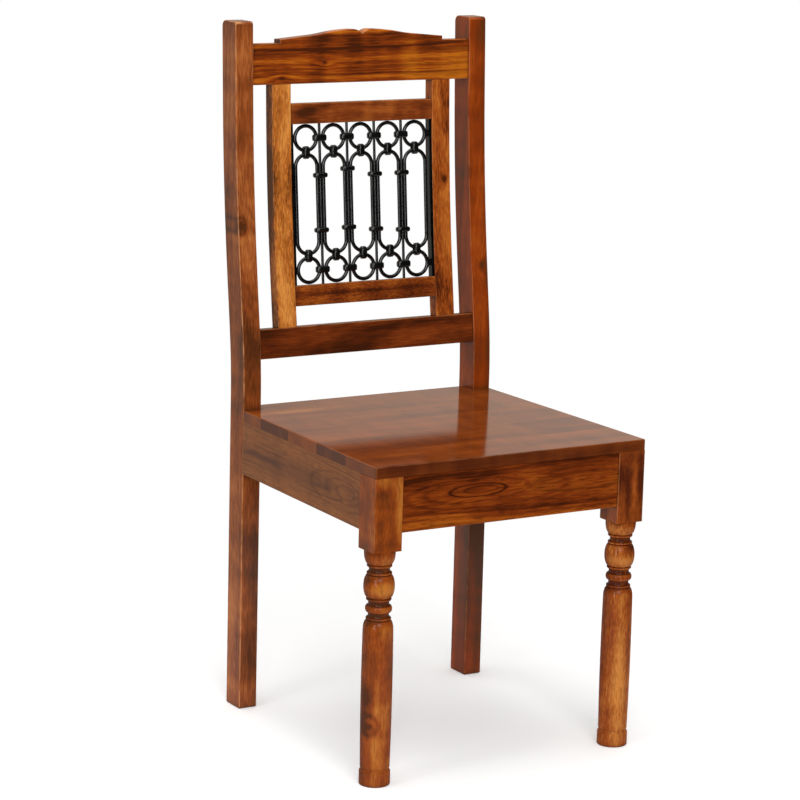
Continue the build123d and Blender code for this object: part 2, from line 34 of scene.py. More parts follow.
WHITE: Triple = (1.0, 1.0, 1.0)
BLACK: Triple = (0.0, 0.0, 0.0)


class Grain(Enum):
    """Way that the fibres of a piece run, as the row axes of its length and its cross-section."""

    ACROSS = (0, 1, 2)
    FORE_AND_AFT = (1, 0, 2)
    UPRIGHT = (2, 0, 1)


class Kind(Enum):
    """What an input or output of an effect carries, as the type name of its socket."""

    NUMBER = "NodeSocketFloat"
    VECTOR = "NodeSocketVector"
    COLOUR = "NodeSocketColor"


class Stain(Enum):
    """Colours of a piece's wood: its pale, its middle and its dark grain."""

    PLAIN = ((0.42, 0.125, 0.018), (0.23, 0.052, 0.012), (0.075, 0.020, 0.008))
    SEAT = ((0.33, 0.105, 0.012), (0.218, 0.047, 0.007), (0.076, 0.015, 0.004))
    FRONT_APRON = ((0.35, 0.082, 0.007), (0.19, 0.032, 0.004), (0.05, 0.009, 0.002))
    SIDE_APRON = ((0.27, 0.085, 0.018), (0.16, 0.046, 0.011), (0.07, 0.018, 0.006))
    BARE_BLOCK = ((0.66, 0.48, 0.30), (0.52, 0.34, 0.19), (0.3, 0.17, 0.08))
    LEFT_LEG = ((0.44, 0.145, 0.022), (0.25, 0.050, 0.007), (0.075, 0.020, 0.006))
    RIGHT_LEG = ((0.52, 0.19, 0.036), (0.28, 0.060, 0.009), (0.075, 0.014, 0.004))
    LEFT_POST = ((0.46, 0.145, 0.035), (0.24, 0.056, 0.012), (0.08, 0.022, 0.006))
    RIGHT_POST = ((0.37, 0.068, 0.007), (0.225, 0.033, 0.003), (0.085, 0.024, 0.006))
    CREST = ((0.45, 0.120, 0.007), (0.25, 0.043, 0.004), (0.06, 0.012, 0.003))
    LOWER_RAIL = ((0.25, 0.05, 0.008), (0.12, 0.022, 0.004), (0.045, 0.010, 0.003))
    LEFT_STILE = ((0.64, 0.25, 0.05), (0.42, 0.12, 0.018), (0.1, 0.03, 0.007))
    RIGHT_STILE = ((0.48, 0.14, 0.02), (0.30, 0.062, 0.008), (0.07, 0.014, 0.003))
    UPPER_PANEL_RAIL = ((0.36, 0.095, 0.016), (0.19, 0.038, 0.007), (0.06, 0.014, 0.004))
    LOWER_PANEL_RAIL = ((0.36, 0.09, 0.011), (0.17, 0.032, 0.005), (0.05, 0.010, 0.003))


class Sheet:
    """A node tree with short ways to add and join nodes."""

    def __init__(self, tree: bpy.types.NodeTree) -> None:
        """Takes over a node tree."""
        self.tree = tree

    def add(self, kind: str, **settings: object) -> bpy.types.Node:
        """Adds a node.

        Args:
            kind: The node's type name.
            **settings: Properties of the node.

        Returns:
            The new node.
        """
        node = self.tree.nodes.new(kind)
        for name, value in settings.items():
            setattr(node, name, value)
        return node

    def feed(self, socket: Socket, value: object) -> None:
        """Sets an input socket, or links it.

        Args:
            socket: The input.
            value: Another socket, a number, a triple or a colour.
        """
        if isinstance(value, Socket):
            self.tree.links.new(value, socket)
        elif socket.type == "RGBA" and len(value) == 3:
            socket.default_value = (*value, 1.0)
        else:
            socket.default_value = value

    def math(self, operation: str, *values: Value) -> Socket:
        """Adds a number operation.

        Args:
            operation: Name of the operation.
            *values: Its operands.

        Returns:
            The result's socket.
        """
        node = self.add("ShaderNodeMath", operation=operation)
        for socket, value in zip(node.inputs, values):
            self.feed(socket, value)
        return node.outputs[0]

    def total(self, values: Sequence[Value]) -> Value:
        """Adds numbers up.

        Args:
            values: Numbers or sockets.

        Returns:
            Their sum, as a number or a socket.
        """
        result = values[0]
        for value in values[1:]:
            result = self.math("ADD", result, value)
        return result

    def product(self, *values: Value) -> Value:
        """Multiplies numbers.

        Args:
            *values: Numbers or sockets.

        Returns:
            Their product, as a number or a socket.
        """
        result = values[-1]
        for value in reversed(values[:-1]):
            result = self.math("MULTIPLY", value, result)
        return result

    def vector(self, operation: str, *values: VectorValue) -> Socket:
        """Adds a vector operation.

        Args:
            operation: Name of the operation.
            *values: Its operands.

        Returns:
            The vector result's socket, or the number's for a length.
        """
        node = self.add("ShaderNodeVectorMath", operation=operation)
        for socket, value in zip(node.inputs, values):
            self.feed(socket, value)
        return node.outputs["Value" if operation == "LENGTH" else "Vector"]

    def scaled(self, vector: VectorValue, factor: Value) -> Socket:
        """A vector times a number.

        Args:
            vector: The vector.
            factor: The number.

        Returns:
            The product's socket.
        """
        node = self.add("ShaderNodeVectorMath", operation="SCALE")
        self.feed(node.inputs[0], vector)
        self.feed(node.inputs["Scale"], factor)
        return node.outputs["Vector"]

    def split(self, vector: Socket) -> Sequence[Socket]:
        """The three parts of a vector.

        Args:
            vector: The vector's socket.

        Returns:
            Sockets of its parts.
        """
        node = self.add("ShaderNodeSeparateXYZ")
        self.feed(node.inputs[0], vector)
        return list(node.outputs)

    def join(self, x: Value, y: Value, z: Value) -> Socket:
        """A vector from its three parts.

        Args:
            x: First part.
            y: Second part.
            z: Third part.

        Returns:
            The vector's socket.
        """
        node = self.add("ShaderNodeCombineXYZ")
        for socket, value in zip(node.inputs, (x, y, z)):
            self.feed(socket, value)
        return node.outputs[0]

    def band(self, value: Value, levels: Pair, to: Pair = (0.0, 1.0), smooth: bool = True) -> Socket:
        """Step of a value between two levels.

        Args:
            value: The value.
            levels: Where the step starts and where it ends.
            to: What it gives before and after.
            smooth: Whether the step is eased or straight.

        Returns:
            The result's socket.
        """
        node = self.add("ShaderNodeMapRange", interpolation_type="SMOOTHSTEP" if smooth else "LINEAR")
        names = ("Value", "From Min", "From Max", "To Min", "To Max")
        for name, given in zip(names, (value, *levels, *to)):
            self.feed(node.inputs[name], given)
        return node.outputs[0]

    def noise(
        self, place: Socket, detail: float = 1.0, roughness: float = 0.5, line: bool = False,
        coloured: bool = False,
    ) -> Socket:
        """Adds a noise of unit scale.

        Args:
            place: Where it is read: a vector, or a number for noise along a line.
            detail: Number of finer layers.
            roughness: Share of the finer layers.
            line: Whether the noise runs along a line.
            coloured: Whether three noises are wanted, as a colour.

        Returns:
            The noise's socket.
        """
        node = self.add("ShaderNodeTexNoise", noise_dimensions="1D" if line else "3D")
        self.feed(node.inputs["W" if line else "Vector"], place)
        self.feed(node.inputs["Scale"], 1.0)
        self.feed(node.inputs["Detail"], detail)
        self.feed(node.inputs["Roughness"], roughness)
        return node.outputs["Color"] if coloured else node.outputs[0]

    def blend(self, factor: Value, first: object, second: object) -> Socket:
        """Mixes two colours.

        Args:
            factor: Share of the second colour.
            first: A colour or its socket.
            second: A colour or its socket.

        Returns:
            The mixed colour's socket.
        """
        node = self.add("ShaderNodeMix", data_type="RGBA")
        self.feed(node.inputs["Factor"], factor)
        colours = [socket for socket in node.inputs if socket.type == "RGBA"]
        for socket, colour in zip(colours, (first, second)):
            self.feed(socket, colour)
        return next(output for output in node.outputs if output.type == "RGBA")

    def bump(self, height: Socket, strength: float, depth: float) -> Socket:
        """Normal of a surface with a fine relief.

        Args:
            height: The relief.
            strength: Its share in the normal.
            depth: Its depth in metres.

        Returns:
            The normal's socket.
        """
        node = self.add("ShaderNodeBump")
        for name, value in (("Strength", strength), ("Distance", depth), ("Height", height)):
            self.feed(node.inputs[name], value)
        return node.outputs[0]


class Effect:
    """A shader node group that several materials place with their own values."""

    title = ""
    takes: Mapping[Kind, Sequence[str]] = {}
    gives: Mapping[Kind, Sequence[str]] = {}

    def __init__(self) -> None:
        """Makes the group with its named inputs and outputs."""
        self.tree = bpy.data.node_groups.new(self.title, "ShaderNodeTree")
        for way, sockets in (("INPUT", self.takes), ("OUTPUT", self.gives)):
            for kind, names in sockets.items():
                for name in names:
                    self.tree.interface.new_socket(name, in_out=way, socket_type=kind.value)
        self.sheet = Sheet(self.tree)
        self.source: Mapping[str, Socket] = self.sheet.add("NodeGroupInput").outputs
        self.target: Mapping[str, Socket] = self.sheet.add("NodeGroupOutput").inputs
        self.draw()

    def draw(self) -> None:
        """Fills the group between its inputs and its outputs; each effect has its own way."""
        raise NotImplementedError

    def place(self, sheet: Sheet, **values: object) -> bpy.types.NodeOutputs:
        """Places the group in a material.

        Args:
            sheet: The material's node sheet.
            **values: Its inputs, named with underscores for spaces.

        Returns:
            The placed group's outputs.
        """
        node = sheet.add("ShaderNodeGroup")
        node.node_tree = self.tree
        for name, value in values.items():
            sheet.feed(node.inputs[name.replace("_", " ")], value)
        return node.outputs


class SawnWood(Effect):
    """Growth rings of a log, cut by the faces of a sawn piece."""

    title = "Sawn Wood"
    takes = {
        Kind.VECTOR: ("Log Place",),
        Kind.NUMBER: (
            "Seed", "Ring Shift", "Ring Spacing", "Band Spacing", "Wander", "Ripple", "Tone", "Contrast",
            "Blotch", "Blotch Spread", "Line Depth", "Fleck", "Fleck Spread", "Tick", "Curl", "End Grain",
            "End Tone",
        ),
        Kind.COLOUR: ("Pale", "Middle", "Dark"),
    }
    gives = {Kind.COLOUR: ("Color",), Kind.NUMBER: ("Roughness", "Height")}

    # Waves in a metre of log, along and across the fibres, or across alone where an input gives the other.
    slow_waves: Pair = (2.6, 4.0)
    quick_waves: Pair = (11.0, 34.0)
    fibre_waves: Pair = (14.0, 520.0)
    curl_waves: Pair = (36.0, 9.0)
    pore_waves: Pair = (60.0, 1500.0)
    tick_waves: Pair = (48.0, 420.0)
    cloud_waves: Pair = (9.0, 30.0)
    blotch_waves_across = 26.0
    fleck_waves_across = 430.0

    # Range of the swings across the log, as a multiple of the Wander or Ripple that sets them.
    swing_gain = 4.0

    # How far a step of the seed moves the noises in the log, the colour bands and the rings.
    seed_step: Triple = (7.31, 3.17, 5.73)
    band_seed_step = 4.1
    ring_seed_step = 9.7

    # Rings come at uneven steps, darken slowly, end quickly, and differ from year to year.
    drift_waves = 0.31
    drift_size = 2.4
    year_step = 5.3
    late_wood: Pair = (0.35, 0.88)
    ring_end: Pair = (0.88, 1.0)
    year_levels: Pair = (0.3, 0.6)
    year_strength: Pair = (0.25, 1.0)

    # Noise levels between which a feature sets in, and the roughness at the sheen's two levels.
    pore_levels: Pair = (0.62, 0.72)
    tick_levels: Pair = (0.57, 0.66)
    cloud_levels: Pair = (0.32, 0.62)
    sheen_levels: Pair = (0.3, 0.7)
    sheen: Pair = (0.36, 0.5)

    # Share of each feature in the tone, which runs from dark at 0 through the middle to pale.
    middle_tone = 0.5
    pale_tone = 1.05
    band_share = 2.2
    blotch_share = 1.9
    fleck_share = 2.4
    curl_share = 2.0
    fibre_share = 0.1
    fibre_share_of_fleck = 0.6
    pore_share = 0.3
    end_figure = 0.25

    # Share of each feature in the relief.
    fibre_relief = 0.6
    pore_relief = 0.5
    line_relief = 0.3

    def draw(self) -> None:
        """Draws rings, colour bands, fibres and pores."""
        sheet, source, target = self.sheet, self.source, self.target
        log_place = source["Log Place"]
        across_log = (0.0, 1.0, 1.0)
        start = sheet.scaled(self.seed_step, source["Seed"])

        def read(along: Value, across: float, **finer: float) -> Socket:
            """A noise in the log, drawn out along the fibres; finer holds other options of the noise."""
            place = sheet.vector("MULTIPLY", log_place, sheet.join(along, across, across))
            return sheet.noise(sheet.vector("ADD", place, start), **finer)

        def swing(waves: Pair, detail: float, size: Socket) -> Socket:
            """A wavering shift across the log."""
            centred = sheet.vector("SUBTRACT", read(*waves, detail=detail, coloured=True), (0.5, 0.5, 0.5))
            return sheet.scaled(sheet.vector("MULTIPLY", centred, across_log), size)

        def around_zero(value: Socket, *sizes: Value) -> Value:
            """A noise as a swing about zero."""
            return sheet.product(sheet.math("SUBTRACT", value, 0.5), *sizes)

        slow = swing(self.slow_waves, 1.0, sheet.product(source["Wander"], self.swing_gain))
        quick = swing(self.quick_waves, 2.0, sheet.product(source["Ripple"], self.swing_gain))
        across = sheet.vector("MULTIPLY", log_place, across_log)
        shifted = sheet.vector("ADD", sheet.vector("ADD", across, slow), quick)
        radius = sheet.math("ADD", sheet.vector("LENGTH", shifted), source["Ring Shift"])

        def rings_from_pith(spacing: Socket, seed_step: float) -> Socket:
            """Count of rings from the pith, from a start of its own."""
            start_count = sheet.product(source["Seed"], seed_step)
            return sheet.math("ADD", sheet.math("DIVIDE", radius, spacing), start_count)

        band_count = rings_from_pith(source["Band Spacing"], self.band_seed_step)
        bands = sheet.noise(band_count, detail=2.5, roughness=0.6, line=True)
        even = rings_from_pith(source["Ring Spacing"], self.ring_seed_step)
        drift = sheet.noise(sheet.product(even, self.drift_waves), line=True)
        count = sheet.math("ADD", even, sheet.product(drift, self.drift_size))
        year = sheet.noise(sheet.product(sheet.math("FLOOR", count), self.year_step), detail=0.0, line=True)
        share = sheet.math("FRACT", count)
        rings = sheet.product(
            sheet.band(share, self.late_wood),
            sheet.band(share, self.ring_end, (1.0, 0.0)),
            sheet.band(year, self.year_levels, self.year_strength),
        )

        patches = read(source["Blotch Spread"], self.blotch_waves_across, detail=2.0)
        fibres = read(*self.fibre_waves, detail=2.0, roughness=0.6)
        flecks = read(source["Fleck Spread"], self.fleck_waves_across, detail=1.5, roughness=0.6)
        curls = read(*self.curl_waves)
        pores = sheet.band(read(*self.pore_waves), self.pore_levels)
        ticks = sheet.band(read(*self.tick_waves), self.tick_levels)
        clouds = sheet.band(read(*self.cloud_waves), self.cloud_levels)

        along = sheet.math("SUBTRACT", 1.0, source["End Grain"])
        figure = sheet.math("ADD", sheet.product(along, 1.0 - self.end_figure), self.end_figure)
        with_fleck = sheet.product(source["Fleck"], self.fibre_share_of_fleck)
        fibre_size = sheet.math("ADD", with_fleck, self.fibre_share)
        tone = sheet.total([
            sheet.math("ADD", source["Tone"], self.middle_tone),
            around_zero(bands, source["Contrast"], figure, self.band_share),
            around_zero(patches, source["Blotch"], self.blotch_share),
            around_zero(flecks, along, source["Fleck"], self.fleck_share),
            around_zero(curls, along, source["Curl"], self.curl_share),
            around_zero(fibres, fibre_size),
            sheet.product(source["End Grain"], source["End Tone"]),
        ])
        darker = sheet.band(tone, (0.0, self.middle_tone), smooth=False)
        paler = sheet.band(tone, (self.middle_tone, self.pale_tone), smooth=False)
        colour = sheet.blend(paler, sheet.blend(darker, source["Dark"], source["Middle"]), source["Pale"])
        lines = sheet.product(rings, clouds, source["Line Depth"], along)
        ticked = sheet.product(ticks, source["Tick"], along)
        for mark in (lines, sheet.product(pores, self.pore_share), ticked):
            colour = sheet.blend(mark, colour, source["Dark"])
        sheet.feed(target["Color"], colour)
        sheet.feed(target["Roughness"], sheet.band(patches, self.sheen_levels, self.sheen))
        relief = sheet.total([
            sheet.product(fibres, self.fibre_relief),
            sheet.product(pores, -self.pore_relief),
            sheet.product(lines, -self.line_relief),
        ])
        sheet.feed(target["Height"], relief)


class SoftSpot(Effect):
    """A soft oval that lifts or lowers a value about one place in a piece."""

    title = "Soft Spot"
    takes = {Kind.VECTOR: ("Place", "Centre", "Size"), Kind.NUMBER: ("Radius", "Width", "Lift")}
    gives = {Kind.NUMBER: ("Value",)}

    def draw(self) -> None:
        """Draws a bell curve about the centre, or about an oval line around it."""
        sheet, source, target = self.sheet, self.source, self.target
        offset = sheet.vector("SUBTRACT", source["Place"], source["Centre"])
        away = sheet.vector("LENGTH", sheet.vector("DIVIDE", offset, source["Size"]))
        beyond = sheet.math("DIVIDE", sheet.math("SUBTRACT", away, source["Radius"]), source["Width"])
        bell = sheet.math("EXPONENT", sheet.product(-1.0, beyond, beyond))
        sheet.feed(target["Value"], sheet.product(bell, source["Lift"]))


class Arris(Effect):
    """Rounded edges of a piece, made paler in patches: partly wear where the lacquer has thinned, partly a
    painted highlight along the arrises.
    """

    title = "Arris"
    takes = {Kind.VECTOR: ("Place",)}
    gives = {Kind.NUMBER: ("Edge",)}
    slant: Pair = (0.2, 0.42)
    patch_waves = 38.0
    patch_levels: Pair = (0.3, 0.6)

    def draw(self) -> None:
        """Finds the surface that faces between two axes, in patches."""
        sheet, source, target = self.sheet, self.source, self.target
        facing = sheet.vector("ABSOLUTE", sheet.add("ShaderNodeNewGeometry").outputs["Normal"])
        x, y, z = sheet.split(facing)
        slanted = sheet.math("MAXIMUM", sheet.product(x, y), sheet.product(y, z))
        slanted = sheet.math("MAXIMUM", slanted, sheet.product(x, z))
        patches = sheet.noise(sheet.scaled(source["Place"], self.patch_waves), detail=2.0)
        edge = sheet.product(sheet.band(slanted, self.slant), sheet.band(patches, self.patch_levels))
        sheet.feed(target["Edge"], edge)


class CreviceShade(Effect):
    """Corners and joints, darkened by ambient occlusion: partly stain and dust that gather there, partly
    painted shade.
    """

    title = "CreviceShade"
    takes = {Kind.NUMBER: ("Reach", "Depth")}
    gives = {Kind.NUMBER: ("Shade",)}
    openness: Pair = (0.45, 0.95)
    samples = 6

    def draw(self) -> None:
        """Looks at how open the surface is round about."""
        sheet, source, target = self.sheet, self.source, self.target
        look = sheet.add("ShaderNodeAmbientOcclusion", samples=self.samples)
        sheet.feed(look.inputs["Distance"], source["Reach"])
        shade = sheet.band(look.outputs["AO"], self.openness, (1.0, 0.0))
        sheet.feed(target["Shade"], sheet.product(shade, source["Depth"]))


@dataclass(frozen=True)
class Spot:
    """A soft oval in a piece: its middle, half its size and what it adds there.

    With a line width, as a share of the size, only the oval's outline is drawn.
    """

    centre: Triple
    size: Triple
    lift: float
    line: float = 0.0


Marks = Mapping[str, Spot]


@dataclass(frozen=True)
class Turning:
    """The turned part of a leg, below its square block, in metres."""

    axis: Pair
    fleck: float = 0.5
    lacquer: float = 0.2
    block_start: Pair = (0.328, 0.335)
    # Level above which the arrises turn pale, partly wear and partly a painted highlight.
    edge_wear_and_highlight_start: Pair = (0.333, 0.338)
    cove_radius: Pair = (0.0143, 0.0182)
    cove_tone: float = -0.55


@dataclass(frozen=True)
class WoodCut:
    """How one piece was cut from its log, and how its wood is coloured."""

    grain: Grain
    pith: Triple
    seed: float
    stain: Stain = Stain.PLAIN
    tone: float = 0.0
    end_tone: float = -0.3
    wander: float = 0.012
    ring_spacing: float = 0.0045
    band_spacing: float = 0.014
    contrast: float = 0.6
    blotch: float = 0.5
    blotch_spread: float = 6.0
    line_depth: float = 0.2
    fleck: float = 0.4
    fleck_spread: float = 34.0
    tick: float = 0.3
    curl: float = 0.2
    lacquer: float = 0.36
    lacquer_drift: float = 0.0
    # Paleness along the arrises: partly wear, partly a painted highlight.
    edge_wear_and_highlight: float = 0.4
    turning: Optional[Turning] = None
    tone_marks: Marks = field(default_factory=dict)
    ring_marks: Marks = field(default_factory=dict)


class Workshop:
    """The effects that finishes share, each made once."""

    def __init__(self) -> None:
        """Makes the shared effects."""
        self.wood = SawnWood()
        self.spot = SoftSpot()
        self.arris = Arris()
        self.crevice_shade = CreviceShade()


def blank_material(title: str) -> tuple[Material, Sheet, bpy.types.Node]:
    """Makes a material with a Principled shader.

    Args:
        title: The material's name.

    Returns:
        The material, its node sheet and its shader.
    """
    material = bpy.data.materials.new(title)
    material.use_nodes = True
    shader = next(node for node in material.node_tree.nodes if node.type == "BSDF_PRINCIPLED")
    return material, Sheet(material.node_tree), shader


def give_finish(piece: bpy.types.Object, material: Material) -> None:
    """Gives a piece one finish."""
    piece.data.materials.clear()
    piece.data.materials.append(material)


@dataclass(frozen=True)
class WoodFinish:
    """Clear lacquer over stained wood, for one piece."""

    workshop: Workshop
    title: str
    cut: WoodCut
    ripple: float = 0.0007
    # Pale colour of the arrises: partly bare wood showing through wear, partly a painted highlight.
    edge_wear_and_highlight_colour: Triple = (0.50, 0.21, 0.08)
    crevice_reach: float = 0.009
    crevice_depth: float = 0.7
    grain_strength: float = 0.25
    grain_depth: float = 0.0003
    end_facing: Pair = (0.75, 0.97)
    lacquer_roughness: float = 0.1
    lacquer_index: float = 1.5

    def material(self) -> Material:
        """Makes the finish.

        Returns:
            Its material.
        """
        cut = self.cut
        material, sheet, shader = blank_material(f"{self.title}_wood")
        place = sheet.add("ShaderNodeTexCoord").outputs["Object"]
        wood = self.grow(sheet, place)
        edge = self.workshop.arris.place(sheet, Place=place)["Edge"]
        edge_wear_and_highlight: Value = cut.edge_wear_and_highlight
        coat: Value = cut.lacquer
        if cut.turning:
            level = sheet.split(place)[2]
            edge_wear_and_highlight = sheet.band(level, cut.turning.edge_wear_and_highlight_start, (0.0, cut.edge_wear_and_highlight))
            coat = sheet.band(level, cut.turning.block_start, (cut.turning.lacquer, cut.lacquer))
        elif cut.lacquer_drift:
            coat = sheet.math("ADD", sheet.product(sheet.split(place)[0], cut.lacquer_drift), cut.lacquer)
        # Arrises turn pale in patches: partly wear, partly a painted highlight.
        worn_and_highlit = sheet.blend(sheet.product(edge, edge_wear_and_highlight), wood["Color"], self.edge_wear_and_highlight_colour)
        # Corners and joints darkened towards the dark stain: partly stain and dust, partly painted shade
        # from ambient occlusion.
        crevice_shade = self.workshop.crevice_shade.place(sheet, Reach=self.crevice_reach, Depth=self.crevice_depth)
        dark = cut.stain.value[2]
        sheet.feed(shader.inputs["Base Color"], sheet.blend(crevice_shade["Shade"], worn_and_highlit, dark))
        sheet.feed(shader.inputs["Roughness"], wood["Roughness"])
        grain = sheet.bump(wood["Height"], self.grain_strength, self.grain_depth)
        sheet.feed(shader.inputs["Normal"], grain)
        sheet.feed(shader.inputs["Coat Weight"], coat)
        shader.inputs["Specular IOR Level"].default_value = 0.0
        shader.inputs["Coat Roughness"].default_value = self.lacquer_roughness
        shader.inputs["Coat IOR"].default_value = self.lacquer_index
        return material

    def grow(self, sheet: Sheet, place: Socket) -> bpy.types.NodeOutputs:
        """Places the log's rings in the piece.

        Args:
            sheet: The material's node sheet.
            place: Place in the chair's frame.

        Returns:
            The wood effect's outputs.
        """
        cut = self.cut
        fleck: Value = cut.fleck
        if cut.turning:
            level = sheet.split(place)[2]
            fleck = sheet.band(level, cut.turning.block_start, (cut.turning.fleck, cut.fleck))
        from_pith = sheet.split(sheet.vector("SUBTRACT", place, cut.pith))
        facing = sheet.split(sheet.add("ShaderNodeNewGeometry").outputs["Normal"])[cut.grain.value[0]]
        tones = [cut.tone, *self.marks(sheet, place, cut.tone_marks), *self.coves(sheet, place)]
        pale, middle, dark = cut.stain.value
        return self.workshop.wood.place(
            sheet, Log_Place=sheet.join(*(from_pith[axis] for axis in cut.grain.value)), Seed=cut.seed,
            Ring_Shift=sheet.total([0.0, *self.marks(sheet, place, cut.ring_marks)]),
            Ring_Spacing=cut.ring_spacing, Band_Spacing=cut.band_spacing, Wander=cut.wander,
            Ripple=self.ripple, Tone=sheet.total(tones), Contrast=cut.contrast, Blotch=cut.blotch,
            Blotch_Spread=cut.blotch_spread, Line_Depth=cut.line_depth, Fleck=fleck,
            Fleck_Spread=cut.fleck_spread, Tick=cut.tick, Curl=cut.curl, End_Tone=cut.end_tone,
            End_Grain=sheet.band(sheet.math("ABSOLUTE", facing), self.end_facing),
            Pale=pale, Middle=middle, Dark=dark,
        )

    def coves(self, sheet: Sheet, place: Socket) -> list[Socket]:
        """Dark stain that gathers in the coves of a turned piece.

        Args:
            sheet: The material's node sheet.
            place: Place in the chair's frame.

        Returns:
            What the stain adds, or nothing for a piece that isn't turned.
        """
        turning = self.cut.turning
        if turning is None:
            return []
        x, y, _ = sheet.split(sheet.vector("SUBTRACT", place, (*turning.axis, 0.0)))
        radius = sheet.vector("LENGTH", sheet.join(x, y, 0.0))
        return [sheet.band(radius, turning.cove_radius, (turning.cove_tone, 0.0))]

    def marks(self, sheet: Sheet, place: Socket, marks: Marks) -> list[Socket]:
        """Places soft ovals and oval lines.

        Args:
            sheet: The material's node sheet.
            place: Place in the chair's frame.
            marks: The ovals by name.

        Returns:
            What each of them adds.
        """
        return [
            self.workshop.spot.place(
                sheet, Place=place, Centre=spot.centre, Size=spot.size, Lift=spot.lift,
                Radius=1.0 if spot.line else 0.0, Width=spot.line or 1.0,
            )["Value"]
            for spot in marks.values()
        ]


@dataclass(frozen=True)
class IronFinish:
    """Satin black paint over forged iron."""

    title: str
    shine: float
    paint: Triple = (0.0012, 0.0012, 0.0013)
    dust: Triple = (0.004, 0.004, 0.004)
    dust_waves: float = 45.0
    dust_levels: Pair = (0.35, 0.7)
    sheen_levels: Pair = (0.3, 0.7)
    sheen: Pair = (0.16, 0.28)
    hammer_waves: float = 120.0
    hammer_strength: float = 0.3
    hammer_depth: float = 0.0004

    def material(self) -> Material:
        """Makes the finish.

        Returns:
            Its material.
        """
        material, sheet, shader = blank_material(self.title)
        place = sheet.add("ShaderNodeTexCoord").outputs["Object"]
        hammer = sheet.noise(sheet.scaled(place, self.hammer_waves))
        dust = sheet.noise(sheet.scaled(place, self.dust_waves), detail=3.0)
        paint = sheet.blend(sheet.band(dust, self.dust_levels), self.paint, self.dust)
        sheet.feed(shader.inputs["Base Color"], paint)
        sheet.feed(shader.inputs["Roughness"], sheet.band(dust, self.sheen_levels, self.sheen))
        sheet.feed(shader.inputs["Normal"], sheet.bump(hammer, self.hammer_strength, self.hammer_depth))
        shader.inputs["Specular IOR Level"].default_value = self.shine
        return material


@dataclass(frozen=True)
class SteelFinish:
    """Plain steel of the screws."""

    grimy: Triple = (0.42, 0.41, 0.4)
    clean: Triple = (0.62, 0.61, 0.6)
    grime_waves: float = 300.0
    grime_levels: Pair = (0.3, 0.7)
    sheen: Pair = (0.28, 0.45)

    def material(self) -> Material:
        """Makes the finish.

        Returns:
            Its material.
        """
        material, sheet, shader = blank_material("screw_steel")
        place = sheet.add("ShaderNodeTexCoord").outputs["Object"]
        grime = sheet.noise(sheet.scaled(place, self.grime_waves), detail=3.0)
        steel = sheet.blend(sheet.band(grime, self.grime_levels), self.grimy, self.clean)
        sheet.feed(shader.inputs["Base Color"], steel)
        sheet.feed(shader.inputs["Roughness"], sheet.band(grime, self.grime_levels, self.sheen))
        shader.inputs["Metallic"].default_value = 1.0
        return material


@dataclass
class SubAssembly:
    """A group of the chair's pieces that are dressed together."""

    workshop: Workshop
    title: ClassVar[str] = ""

    def cuts(self) -> dict[str, WoodCut]:
        """How each wooden piece is cut, by node; a group without wood has none."""
        return {}

    def finishes(self) -> dict[str, Material]:
        """The finish of each piece, by node."""
        return {node: WoodFinish(self.workshop, node, cut).material() for node, cut in self.cuts().items()}

    def dress(self) -> None:
        """Gives each piece its finish."""
        for node, material in self.finishes().items():
            give_finish(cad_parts[node], material)
            LOG.info("%s: dressed %s", self.title, node)


@dataclass
class Seat(SubAssembly):
    """The boards of the seat."""

    title: ClassVar[str] = "seat"
    boards: int = 5
    board_depth: float = 0.0854
    front: float = -0.2409
    top: float = 0.450
    pith_below: float = 0.055
    first_seed: float = 11.3
    seed_step: float = 3.7
    # For each board, from the front: its pith behind its middle, its tone and that of its ends.
    piths: tuple[float, ...] = (0.0205, -0.0295, 0.0155, 0.0345, -0.0115)
    tones: tuple[float, ...] = (-0.21, -0.25, -0.19, -0.23, -0.12)
    end_tones: tuple[float, ...] = (-0.02, -0.25, 0.05, -0.3, -0.05)

    def marks(self, number: int) -> Marks:
        """Dark and pale places of a board.

        Args:
            number: The board, from the front.

        Returns:
            Its marks by name.
        """
        if number == 1:
            return dict(
                dark_front_edge=Spot((0.0, self.front, 0.440), (0.6, 0.003, 0.02), -0.22),
                pale_streak=Spot((-0.149, -0.185, self.top), (0.06, 0.006, 0.02), 0.3),
            )
        if number == self.boards:
            return dict(pale_corner=Spot((-0.143, 0.123, self.top), (0.05, 0.008, 0.03), 0.7))
        return {}

    def cuts(self) -> dict[str, WoodCut]:
        """How each board is cut.

        Returns:
            Cuts by node.
        """
        result = {}
        for index in range(self.boards):
            number = index + 1
            pith = self.front + (index + 0.5) * self.board_depth + self.piths[index]
            seed = self.first_seed + index * self.seed_step
            result[f"seat_board_{number}"] = WoodCut(
                Grain.ACROSS, (0.0, pith, self.top - self.pith_below), seed, Stain.SEAT,
                tone=self.tones[index], end_tone=self.end_tones[index], wander=0.016, band_spacing=0.02,
                contrast=0.18, blotch=0.4, blotch_spread=3.5, line_depth=0.05, fleck=0.06, tick=0.1,
                lacquer=0.48, lacquer_drift=0.35, edge_wear_and_highlight=0.15, tone_marks=self.marks(number),
            )
        return result


